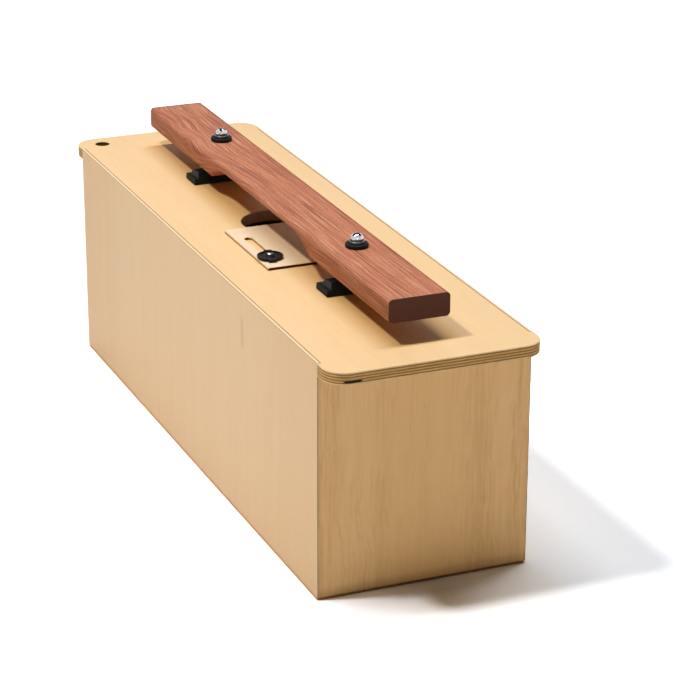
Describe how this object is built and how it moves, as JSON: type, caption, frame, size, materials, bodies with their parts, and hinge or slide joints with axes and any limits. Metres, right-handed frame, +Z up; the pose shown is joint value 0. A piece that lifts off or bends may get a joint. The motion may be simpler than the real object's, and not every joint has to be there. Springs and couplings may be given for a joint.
{
  "type": "contrabass resonator bar",
  "caption": "Deep-pitched wooden tone bar held on rubber supports over a closed plywood resonator box, with a clamped slide that tunes its sound hole.",
  "frame": {"origin": "on the floor, at the centre of the box's footprint", "axes": "+Z up, +Y along the bar towards the rear end, +X across the box to the right"},
  "size_m": [0.2134, 0.764, 0.2923],
  "materials": {
    "lid_plywood": "satin lacquer",
    "side_plywood": "satin lacquer",
    "end_plywood": "satin lacquer",
    "pine": "sawn",
    "rosewood": "oiled",
    "slide_plywood": "satin lacquer",
    "black_rubber": "moulded",
    "foot_rubber": "moulded",
    "black_plastic": "moulded satin",
    "zinc_steel": "bright zinc"
  },
  "bodies": {
    "resonator": {"lid": "lid_plywood", "left_side_panel": "side_plywood", "right_side_panel": "side_plywood", "front_end_panel": "end_plywood", "rear_end_panel": "end_plywood", "bottom_panel": "side_plywood", "tone_bar": "rosewood", "slide_bolt": "zinc_steel", "slide_washer": "zinc_steel", "slide_guide_screw": "zinc_steel", "slide_guide_washer": "zinc_steel", "bar_support_front": "black_rubber", "bar_cushion_front": "black_rubber", "bar_grommet_front": "black_rubber", "bar_washer_front": "zinc_steel", "bar_screw_front": "zinc_steel", "bar_tee_nut_front": "zinc_steel", "corner_batten_front_left": "pine", "foot_front_left": "foot_rubber", "corner_batten_front_right": "pine", "foot_front_right": "foot_rubber", "bar_support_rear": "black_rubber", "bar_cushion_rear": "black_rubber", "bar_grommet_rear": "black_rubber", "bar_washer_rear": "zinc_steel", "bar_screw_rear": "zinc_steel", "bar_tee_nut_rear": "zinc_steel", "corner_batten_rear_left": "pine", "foot_rear_left": "foot_rubber", "corner_batten_rear_right": "pine", "foot_rear_right": "foot_rubber"},
    "tuning_slide": {"tuning_slide": "slide_plywood"},
    "slide_knob": {"slide_knob": "black_plastic"}
  },
  "joints": [
    {"name": "slide_travel", "type": "slide", "parent": "resonator", "child": "tuning_slide", "axis": [0, 1, 0], "range_m": [-0.06, 0.005]},
    {"name": "knob_turn", "type": "hinge", "parent": "resonator", "child": "slide_knob", "pos_m": [-0.047, -0.0793, 0.241], "axis": [0, 0, 1], "range_deg": [0, 360]}
  ]
}
